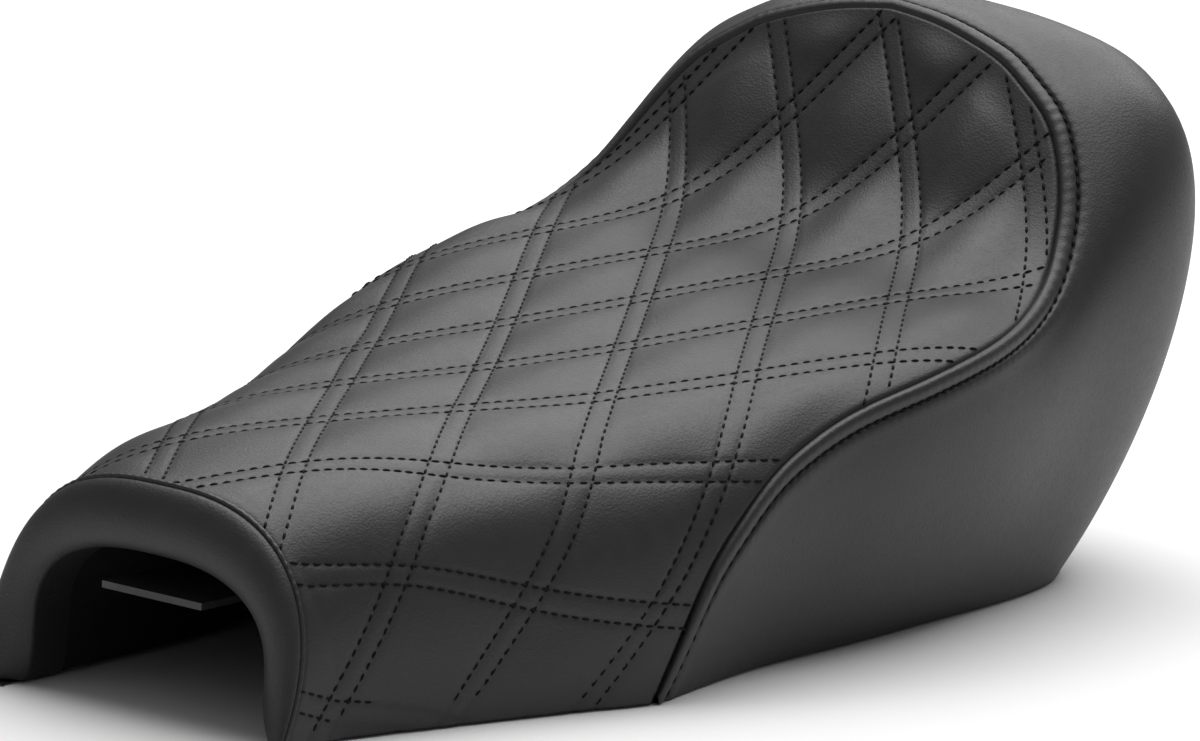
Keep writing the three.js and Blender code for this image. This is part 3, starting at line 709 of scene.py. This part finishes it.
def build_welt():
    t = np.linspace(2.2, WELT_END, 560)
    raw = ribs(t)[0]
    down = raw[:, 3] - raw[:, 0]
    down /= np.linalg.norm(down, axis=1, keepdims=True)
    ahead = np.gradient(welt_point(t), axis=0)
    ahead /= np.linalg.norm(ahead, axis=1, keepdims=True)
    across = down - ahead * (down * ahead).sum(1, keepdims=True)
    across /= np.linalg.norm(across, axis=1, keepdims=True)
    up = np.cross(ahead, across)
    sign = np.sign((up * top_normal(np.maximum(welt_p(t), 0.01), np.minimum(welt_s(t), TOP))).sum(1))
    up *= np.median(sign)
    curve = np.linalg.norm(np.gradient(ahead, axis=0), axis=1)
    pucker = 0.05 + 0.14 * smooth(0.004, 0.02, curve)
    ripple = (np.sin(t / PITCH * 2 * math.pi) + 0.6 * np.sin(t / 3.7 + 1.3)
              + 0.8 * wave(t / 4, t / 11, 3))
    spine = boxing_points(t, np.array([max(d, 0) for d, _ in WELT_PROFILE]))
    out = np.empty((len(t), len(WELT_PROFILE), 3))
    for k, (d, h) in enumerate(WELT_PROFILE):
        swell = np.zeros(len(t))
        if 1 < d < 7.8:
            swell = pucker * ripple * (0.35 if d < 2 else 1.0)
        out[:, k] = spine[:, k] + across * min(d, 0) + up * (h + swell)[:, None]
    out[..., 2] = np.maximum(out[..., 2], WELT_LOWEST)
    return out


half = build_welt()
other = (half * np.array([-1, 1, 1]))[::-1]
welt_grid = np.concatenate([half, other[1:]])
welt = new_object("welt_band", welt_grid.reshape(-1, 3),
                  grid_faces(welt_grid.shape[0], welt_grid.shape[1]), [mat_welt])
weld(welt)
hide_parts("welt")
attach(welt, "root")


# ---------------------------------------------------------------------------------------------
# Nose panel
# ---------------------------------------------------------------------------------------------
def mouth(u):
    k = np.linspace(0, math.pi / 2, 200)
    x = MOUTH_HALF * np.sin(k) ** (2 / MOUTH_FULL)
    z = MOUTH_SPRING + (MOUTH_TOP - MOUTH_SPRING) * np.cos(k) ** (2 / MOUTH_FULL)
    down = np.linspace(0, 1, 40)[1:]
    x = np.append(x, MOUTH_HALF + 0.5 * down + 3.0 * down ** 4)
    z = np.append(z, MOUTH_SPRING + (FOOT_Z - 1.4 - MOUTH_SPRING) * down)
    at = lengths(np.stack([x, z], 1))
    a = np.abs(u) * at[-1]
    return np.stack([np.sign(u) * np.interp(a, at, x), np.full(u.shape, MOUTH_Y),
                     np.interp(a, at, z)], -1)


SEAM_END = float(foot_length(np.array(0.0)))


def seam_points(u):
    p = u * SEAM_END
    return top(p, seam_lean(p))


def nose_grid(cols=300, rows=34):
    u = np.linspace(-1, 1, cols)
    a, d = seam_points(u), mouth(u)
    h0 = a + np.stack([a[:, 0] * 0.05, np.full(cols, -10.0), np.ones(cols)], -1)
    h1 = d + np.stack([d[:, 0] * 0.12, np.full(cols, -9.0), 5 * (1 - np.abs(u) ** 3)], -1)
    v = np.linspace(0.0, 1, rows)[None, :, None] ** 1.1
    w = 1 - v
    pts = (a[:, None] * w ** 3 + 3 * h0[:, None] * v * w ** 2
           + 3 * h1[:, None] * v ** 2 * w + d[:, None] * v ** 3)
    hem = [d + np.array([0, y, 0]) for y in (1.5, 4, 8, 14, 22)]
    return np.concatenate([pts, np.stack(hem, 1)], 1)


def build_nose():
    pts = nose_grid()
    n = grid_normals(pts)
    if n[150, 10, 1] > 0:
        n = -n
    d = np.linalg.norm(pts - pts[:, :1], axis=2)
    h = -1.4 * np.exp(-(d / 1.6) ** 2)
    pts = pts + n * h[..., None]
    foot = []
    for side, row in ((-1, 0), (1, -1)):
        edge = pts[row]
        target = np.array([side * 74.0, -286.0, 0.3])
        part = []
        for k in range(1, 9):
            a = k / 8 * math.pi / 2
            q = edge + (target - edge) * (1 - math.cos(a)) * np.array([1, 1, 0])
            q[:, 2] = edge[:, 2] - (edge[:, 2] - target[2]) * math.sin(a)
            part.append(q)
        foot.append(np.stack(part, 0))
    full = np.concatenate([foot[0][::-1], pts, foot[1]])
    return full


nose_pts = build_nose()
nose = new_object("nose_panel", nose_pts.reshape(-1, 3),
                  grid_faces(nose_pts.shape[0], nose_pts.shape[1]), [mat_plain])
weld(nose)
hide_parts("cover_nose")
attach(nose, "root")


def tube(points, radius, sides=10):
    """Round cord through the points; radius may vary along it."""
    pts = np.asarray(points, float)
    tangent = np.gradient(pts, axis=0)
    tangent /= np.linalg.norm(tangent, axis=1, keepdims=True)
    across = np.array([0.0, 0.0, 1.0])
    r = np.broadcast_to(radius, len(pts))
    rings = []
    for q, t, w in zip(pts, tangent, r):
        across = across - t * across.dot(t)
        across /= np.linalg.norm(across)
        over = np.cross(t, across)
        a = np.linspace(0, 2 * math.pi, sides, endpoint=False)[:, None]
        rings.append(q + w * (np.cos(a) * across + np.sin(a) * over))
    n = len(rings)
    faces = []
    for k in range(n - 1):
        for i in range(sides):
            j = (i + 1) % sides
            faces.append((k * sides + i, k * sides + j, (k + 1) * sides + j, (k + 1) * sides + i))
    faces.append(tuple(range(sides))[::-1])
    faces.append(tuple((n - 1) * sides + i for i in range(sides)))
    return np.concatenate(rings), faces


def build_bead():
    u = np.linspace(-0.995, 0.995, 520)
    p = u * SEAM_END
    s = seam_lean(p)
    n = top_normal(p, s)
    pts = top(p, s) + n * 0.15 + np.array([0, -0.7, 0])
    run = lengths(pts)
    r = 1.25 + 0.10 * np.sin(run / 4.4 * 2 * math.pi) + 0.06 * wave(run / 3, run / 9, 8)
    return tube(pts, r, 10)


bead_v, bead_f = build_bead()
bead = new_object("nose_seam_edge", bead_v, bead_f, [mat_welt])
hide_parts("nose_bead")
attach(bead, "root")


# ---------------------------------------------------------------------------------------------
# Stitching
# ---------------------------------------------------------------------------------------------
def stitch_mesh(name, centre, along, normal, length=4.3, radius=0.62, sink=-0.25):
    """One small thread loop for each centre, lying along the seam and dipping in at its ends."""
    sides, rings = 6, 7
    v = np.linspace(-1, 1, rings)
    r = radius * np.sqrt(np.clip(1 - np.abs(v) ** 3.2, 0.02, 1))
    a = np.linspace(0, 2 * math.pi, sides, endpoint=False)
    side = np.cross(normal, along)
    side /= np.linalg.norm(side, axis=1, keepdims=True)
    normal = np.cross(along, side)
    drop = 0.5 * v ** 2 + sink
    ring = (centre[:, None, None, :]
            + along[:, None, None, :] * (v * length / 2)[None, :, None, None]
            + side[:, None, None, :] * (r[:, None] * np.cos(a))[None, :, :, None]
            + normal[:, None, None, :] * (r[:, None] * np.sin(a) - drop[:, None])[None, :, :, None])
    verts = ring.reshape(-1, 3)
    faces = []
    for k in range(rings - 1):
        for i in range(sides):
            j = (i + 1) % sides
            faces.append((k * sides + i, k * sides + j, (k + 1) * sides + j, (k + 1) * sides + i))
    quads = np.array(faces)
    per = sides * rings
    n = len(centre)
    f = (quads[None] + np.arange(n)[:, None, None] * per).reshape(-1, 4).tolist()
    cap0 = [tuple(i * per + k for k in range(sides))[::-1] for i in range(n)]
    cap1 = [tuple(i * per + (rings - 1) * sides + k for k in range(sides)) for i in range(n)]
    return new_object(name, verts, f + cap0 + cap1, [mat_thread])


def line_at(p, c, sign):
    """s of a lattice line at p, with c its distance along the centre line."""
    s = c + ORIGIN - sign * p / math.tan(ANGLE)
    for _ in range(14):
        s = c + ORIGIN - laid(p, s, sign)
    return s


def quilt_stitches():
    points, tangents = [], []
    for sign in (-1, 1):
        for line in range(-3, 9):
            for row in (-1, 1):
                c = line * CELL + row * ROW / math.sin(ANGLE)
                p = np.arange(-230, 230, PITCH * math.sin(ANGLE))
                s = line_at(p, c, sign)
                dp = 0.5 * math.sin(ANGLE)
                s1 = line_at(p + dp, c, sign)
                s0 = line_at(p - dp, c, sign)
                inside = (s > seam_lean(p) + 2.5) & (s < TOP - 1)
                edge = edge_limit(s)
                inside &= np.abs(p) < edge
                p, s, s0, s1 = (v[inside] for v in (p, s, s0, s1))
                if not len(p):
                    continue
                d_welt = welt_distance(p, s)
                d_seam = np.abs(s - seam_lean(p))
                keep = (d_welt > 1.8) | (s < FOOT_S - 4)
                p, s, s0, s1, d_welt, d_seam = (v[keep] for v in (p, s, s0, s1, d_welt, d_seam))
                if not len(p):
                    continue
                points.append((p, s, d_welt, d_seam))
                a, b = top(p + dp, s1), top(p - dp, s0)
                tangents.append((a - b) / np.linalg.norm(a - b, axis=1, keepdims=True))
    p, s, dw, ds = (np.concatenate(v) for v in zip(*points))
    along = np.concatenate(tangents)
    return top_surface(p, s, dw, ds), along, top_normal(p, s)


def edge_limit(s):
    """Half width of the top panel at s, a little inside its edge."""
    t = np.linspace(0, WELT_END, 1500)
    back = np.interp(s, welt_s(t), welt_p(t))
    front = foot_length(np.clip(s, 0, FOOT_S)) + 1
    return np.where(s < FOOT_S, front, back) - 1.5


centre, along, normal = quilt_stitches()
quilt_thread = stitch_mesh("quilt_thread", centre, along, normal)
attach(quilt_thread, "root")


def topstitches():
    t = np.arange(6, WELT_END + 0.1, PITCH * 0.93)
    pts = boxing_points(t, np.array([BAND, BAND + 2]))
    line, lower = pts[:, 0], pts[:, 1]
    ahead = np.gradient(line, axis=0)
    ahead /= np.linalg.norm(ahead, axis=1, keepdims=True)
    down = lower - line
    n = np.cross(ahead, down)
    n /= np.linalg.norm(n, axis=1, keepdims=True)
    if (n[60] * (line[60] - np.array([0, 0, 60]))).sum() < 0:
        n = -n
    c = line + n * -0.55
    c = np.concatenate([c, c * np.array([-1, 1, 1])])
    m = np.array([-1.0, 1, 1])
    return c, np.concatenate([ahead, ahead * m]), np.concatenate([n, n * m])


centre, along, normal = topstitches()
top_thread = stitch_mesh("topstitch_thread", centre, along, normal, 3.9, 0.6, -0.5)
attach(top_thread, "root")

# ---------------------------------------------------------------------------------------------
# CAD pieces that stay: procedural finishes
# ---------------------------------------------------------------------------------------------
mat_foam = foam_material("moulded_foam", (0.62, 0.54, 0.38), (0.72, 0.65, 0.48))
mat_gel = foam_material("gel_pad", (0.06, 0.12, 0.24), (0.09, 0.17, 0.31))
mat_pan = plastic("pan_plastic", (0.008, 0.008, 0.0085), (0.013, 0.013, 0.0135), 0.62)
mat_rubber = plastic("bumper_rubber", (0.012, 0.012, 0.012), (0.02, 0.02, 0.02), 0.8)
mat_bar = metal("painted_steel", (0.05, 0.05, 0.052), (0.075, 0.075, 0.077), 0.5, 0.5)
mat_steel = metal("plated_steel", (0.22, 0.22, 0.225), (0.34, 0.34, 0.345), 0.42)
mat_rivet = metal("rivet_aluminium", (0.5, 0.5, 0.51), (0.66, 0.66, 0.67), 0.36)


def finish_node(prefix, mat):
    for name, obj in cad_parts.items():
        if name.startswith(prefix):
            if not obj.material_slots:
                obj.data.materials.append(mat)
            for slot in obj.material_slots:
                slot.link = "OBJECT"
                slot.material = mat


for prefix, mat in (("seat_foam", mat_foam), ("bump_foam", mat_foam), ("comfort_pad", mat_gel),
                    ("base_pan", mat_pan), ("bumper_", mat_rubber), ("front_tongue", mat_bar),
                    ("rear_bracket", mat_steel), ("front_rivet", mat_rivet),
                    ("rear_rivet", mat_rivet)):
    finish_node(prefix, mat)


# ---- staples that hold the turned-in cover to the pan ----
def build_staples():
    centres, dirs = [], []
    t = np.arange(14, WELT_END, 24.0)
    f = [g(t) for g in RIBS]
    e = np.stack(f[0:3], -1)
    inward = np.stack([-f[6], -f[7], 0 * f[6]], -1)
    size = np.linalg.norm(inward, axis=1, keepdims=True)
    inward = np.where(size > 0.5, inward / np.maximum(size, 1e-6), np.array([-1.0, 0, 0]))
    for q, w in zip(e, inward):
        centres.append(q + w * 12.5)
        dirs.append(np.array([-w[1], w[0], 0]))
    for s in np.arange(28, FOOT_S - 8, 24.0):
        edge = top(foot_length(np.array(s)), leaning(foot_length(np.array(s)), s))
        centres.append(edge + np.array([-12.5, 0, 0]))
        dirs.append(np.array([0.2, 1.0, 0]) / math.hypot(1, 0.2))
    centres, dirs = np.array(centres), np.array(dirs)
    m = np.array([-1.0, 1, 1])
    centres = np.concatenate([centres, centres * m])
    dirs = np.concatenate([dirs, dirs * m])
    verts, faces = [], []
    for c, d in zip(centres, dirs):
        side = np.array([-d[1], d[0], 0])
        up = np.array([0, 0, 1.0])
        z = 0.35
        path = [(-5, 2.2), (-5, 0.5), (-4.5, 0), (4.5, 0), (5, 0.5), (5, 2.2)]
        base = len(verts)
        for a, b in path:
            q = np.array([c[0], c[1], z]) + d * a + up * b
            for i, j in ((-0.55, -0.3), (0.55, -0.3), (0.55, 0.3), (-0.55, 0.3)):
                inner = d * (-j if abs(a) >= 5 else 0)
                verts.append(q + side * i + (up * j if abs(a) < 5 else inner * np.sign(a)))
        n = len(path)
        for k in range(n - 1):
            for i in range(4):
                j = (i + 1) % 4
                faces.append((base + 4 * k + i, base + 4 * k + j, base + 4 * k + 4 + j, base + 4 * k + 4 + i))
        faces.append((base + 3, base + 2, base + 1, base))
        last = base + 4 * (n - 1)
        faces.append((last, last + 1, last + 2, last + 3))
    return verts, faces


sv, sf = build_staples()
staples = new_object("staples", sv, sf, [mat_steel], smooth_shade=False)
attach(staples, "root")

# ---------------------------------------------------------------------------------------------
# Floor, light, camera
# ---------------------------------------------------------------------------------------------
floor_mesh = bpy.data.meshes.new("floor")
R = 9.0
floor_mesh.from_pydata([(-R, -R, 0), (R, -R, 0), (R, R, 0), (-R, R, 0)], [], [(0, 1, 2, 3)])
floor = bpy.data.objects.new("floor", floor_mesh)
bpy.context.scene.collection.objects.link(floor)
floor.location.z = -0.0004
m, t, b = material("floor")
t.links.new(ramp(t, noise(t, object_coord(t), 3, 2), [(0.3, (0.86, 0.86, 0.86)), (0.7, (0.88, 0.88, 0.88))]),
            b.inputs["Base Color"])
b.inputs["Roughness"].default_value = 0.9
floor_mesh.materials.append(m)


def area(name, location, target, size, power, size_y=None):
    light = bpy.data.lights.new(name, "AREA")
    light.energy = power
    light.shape = "RECTANGLE" if size_y else "SQUARE"
    light.size = size
    if size_y:
        light.size_y = size_y
    obj = bpy.data.objects.new(name, light)
    bpy.context.scene.collection.objects.link(obj)
    obj.location = location
    obj.rotation_mode = "QUATERNION"
    obj.rotation_quaternion = (Vector(target) - Vector(location)).to_track_quat("-Z", "Y")
    return obj


area("overhead", (-0.2, 0.6, 2.3), (0, 0, 0.1), 2.6, 78, 2.4)
area("backdrop", (-1.0, 3.3, 1.9), (-1.0, 3.3, 0), 3.4, 75, 2.0)

world = bpy.data.worlds.new("world")
bpy.context.scene.world = world
world.use_nodes = True
world.node_tree.nodes["Background"].inputs[0].default_value = (1, 1, 1, 1)
world.node_tree.nodes["Background"].inputs[1].default_value = 0.2

# The camera stands off the rider's left front, slightly above, pitched with the seat's own slope.
AZIMUTH, ELEVATION, SLOPE = 38.18, 15.0, 4.87
DISTANCE, LENS = 3.485, 240.0
TARGET = Vector((0, -0.0044, 0.1067))
az, el = math.radians(AZIMUTH), math.radians(ELEVATION)
right = Vector((math.cos(az), math.sin(az), 0))
forward = Vector((-math.sin(az) * math.cos(el), math.cos(az) * math.cos(el), -math.sin(el)))
up = right.cross(forward)
basis = Matrix((right, up, -forward)).transposed()
tilt = Matrix.Rotation(math.radians(SLOPE), 3, "X")
rotation = tilt @ basis
cam_data = bpy.data.cameras.new("camera")
cam_data.lens = LENS
cam_data.sensor_width = 36.0
cam_data.clip_start, cam_data.clip_end = 0.1, 50.0
camera = bpy.data.objects.new("camera", cam_data)
bpy.context.scene.collection.objects.link(camera)
camera.matrix_world = Matrix.Translation(TARGET - tilt @ forward * DISTANCE) @ rotation.to_4x4()
bpy.context.scene.camera = camera

bpy.context.scene.view_settings.view_transform = "Standard"
